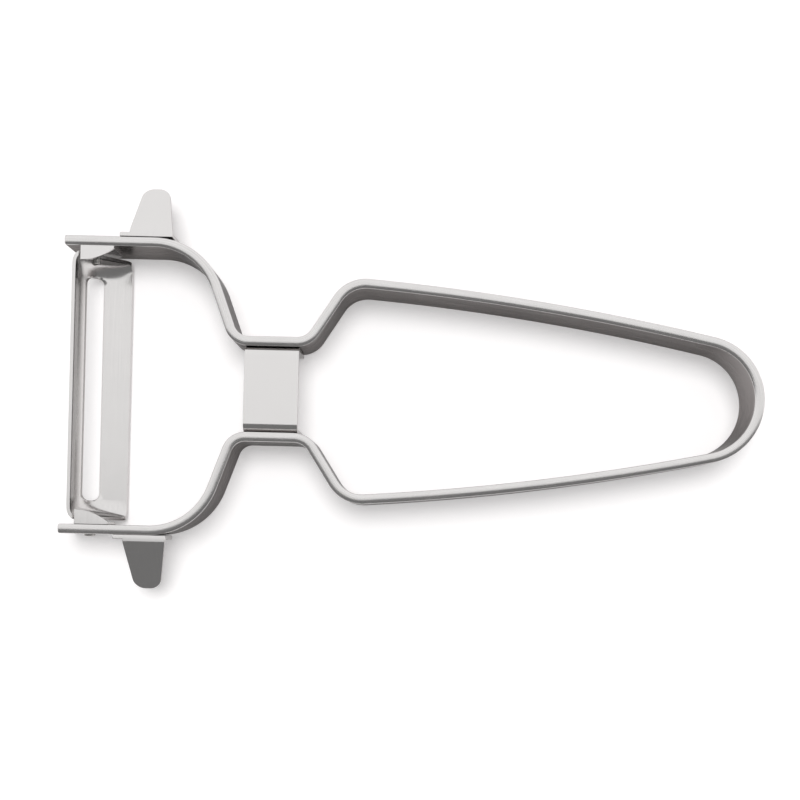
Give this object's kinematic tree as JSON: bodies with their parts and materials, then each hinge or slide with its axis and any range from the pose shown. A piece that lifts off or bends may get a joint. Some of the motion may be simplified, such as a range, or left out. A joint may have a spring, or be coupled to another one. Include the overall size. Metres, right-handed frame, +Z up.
{
  "type": "vegetable peeler",
  "caption": "All-metal Y peeler: a bent strip forms the handle loop and two arms that carry a swivelling slotted blade, with a side tongue for removing eyes.",
  "frame": {"origin": "under the middle of the overall box, on the surface that the peeler lies on", "axes": "+X from the arm tips to the closed end of the handle loop, +Y across to the left arm, +Z up"},
  "size_m": [0.1304, 0.0754, 0.01],
  "materials": {
    "strip_steel": "satin tumbled stainless steel strip",
    "sheet_steel": "satin rolled stainless steel sheet",
    "blade_steel": "polished hardened stainless steel",
    "pin_steel": "turned stainless steel"
  },
  "bodies": {
    "frame": {"frame_strip": "strip_steel", "neck_bridge": "sheet_steel", "eye_remover_left": "sheet_steel", "eye_remover_right": "sheet_steel", "stop_clip_left": "sheet_steel", "stop_clip_right": "sheet_steel", "pivot_pin_left": "pin_steel", "pivot_pin_right": "pin_steel"},
    "blade": {"blade": "blade_steel"}
  },
  "joints": [
    {"name": "blade_swivel", "type": "hinge", "parent": "frame", "child": "blade", "pos_m": [-0.06072, 0, 0.005], "axis": [0, -1, 0], "range_deg": [-2, 73]}
  ]
}
